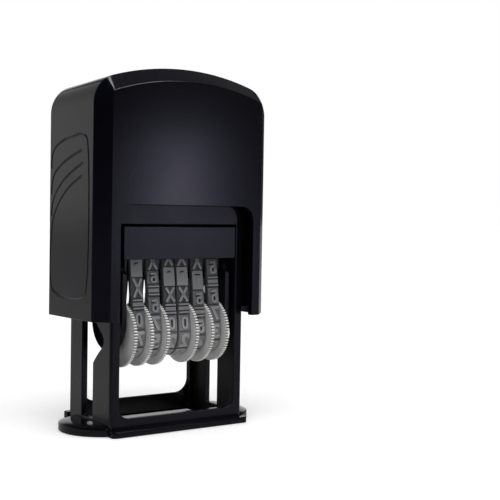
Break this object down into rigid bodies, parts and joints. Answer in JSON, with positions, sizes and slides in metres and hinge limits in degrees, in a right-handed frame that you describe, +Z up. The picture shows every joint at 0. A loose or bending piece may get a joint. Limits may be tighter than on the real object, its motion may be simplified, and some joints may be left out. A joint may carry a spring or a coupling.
{
  "type": "self-inking numbering machine",
  "caption": "Desk numbering machine: an arched case slides down over a slotted frame and turns over a print unit of thumb-set rubber number bands, from an ink pad onto the paper.",
  "frame": {"origin": "centre of the bounding box's bottom: on the table under the middle of the case", "axes": "+Z up along the press travel, +X along the row of number bands, -Y towards the user"},
  "size_m": [0.0472, 0.0252, 0.0796],
  "materials": {
    "black_gloss": "polished",
    "black_satin": "satin",
    "cassette_satin": "fine grain",
    "case_satin": "satin",
    "felt": "ink-soaked felt",
    "grey_rubber": "matt",
    "light_grey": "satin",
    "spring_steel": "drawn wire",
    "pin_steel": "turned"
  },
  "bodies": {
    "stand": {"base_foot": "black_gloss", "stand_frame": "black_satin", "spring_guide": "black_satin", "return_spring": "spring_steel"},
    "pad_tray": {"pad_cassette": "cassette_satin", "ink_pad": "felt"},
    "case": {"case_shell": "case_satin", "spring_cap": "black_satin", "pivot_pin_left": "pin_steel", "pivot_pin_right": "pin_steel"},
    "print_unit": {"holder_arm_left": "black_satin", "holder_arm_right": "black_satin", "platen": "black_satin", "wheel_axle": "pin_steel", "axle_clips": "pin_steel", "cam_pin_left": "pin_steel", "cam_pin_right": "pin_steel", "number_band_1": "grey_rubber", "number_band_2": "grey_rubber", "number_band_3": "grey_rubber", "number_band_4": "grey_rubber", "number_band_5": "grey_rubber", "number_band_6": "grey_rubber"},
    "wheel_1": {"number_wheel_1": "light_grey"},
    "wheel_2": {"number_wheel_2": "light_grey"},
    "wheel_3": {"number_wheel_3": "light_grey"},
    "wheel_4": {"number_wheel_4": "light_grey"},
    "wheel_5": {"number_wheel_5": "light_grey"},
    "wheel_6": {"number_wheel_6": "light_grey"}
  },
  "joints": [
    {"name": "case_press", "type": "slide", "parent": "stand", "child": "case", "axis": [0, 0, -1], "range_m": [0, 0.02], "stiffness_N_per_m": 500, "springref_m": -0.01, "deforming": ["return_spring"]},
    {"name": "print_unit_flip", "type": "hinge", "parent": "case", "child": "print_unit", "pos_m": [0, -0.0004, 0.03025], "axis": [-1, 0, 0], "range_deg": [0, 180.5]},
    {"name": "pad_tray_pull", "type": "slide", "parent": "stand", "child": "pad_tray", "axis": [0, -1, 0], "range_m": [0, 0.03]},
    {"name": "wheel_1_turn", "type": "hinge", "parent": "print_unit", "child": "wheel_1", "pos_m": [-0.01213, -0.0038, 0.0212], "axis": [1, 0, 0], "continuous": true},
    {"name": "wheel_2_turn", "type": "hinge", "parent": "print_unit", "child": "wheel_2", "pos_m": [-0.00797, -0.0038, 0.0212], "axis": [1, 0, 0], "continuous": true},
    {"name": "wheel_3_turn", "type": "hinge", "parent": "print_unit", "child": "wheel_3", "pos_m": [-0.00382, -0.0038, 0.0212], "axis": [1, 0, 0], "continuous": true},
    {"name": "wheel_4_turn", "type": "hinge", "parent": "print_unit", "child": "wheel_4", "pos_m": [0.00382, -0.0038, 0.0212], "axis": [1, 0, 0], "continuous": true},
    {"name": "wheel_5_turn", "type": "hinge", "parent": "print_unit", "child": "wheel_5", "pos_m": [0.00797, -0.0038, 0.0212], "axis": [1, 0, 0], "continuous": true},
    {"name": "wheel_6_turn", "type": "hinge", "parent": "print_unit", "child": "wheel_6", "pos_m": [0.01213, -0.0038, 0.0212], "axis": [1, 0, 0], "continuous": true}
  ],
  "couplings": [
    {"joint": "print_unit_flip", "follows": "case_press", "rad_per_m": 157.08}
  ]
}
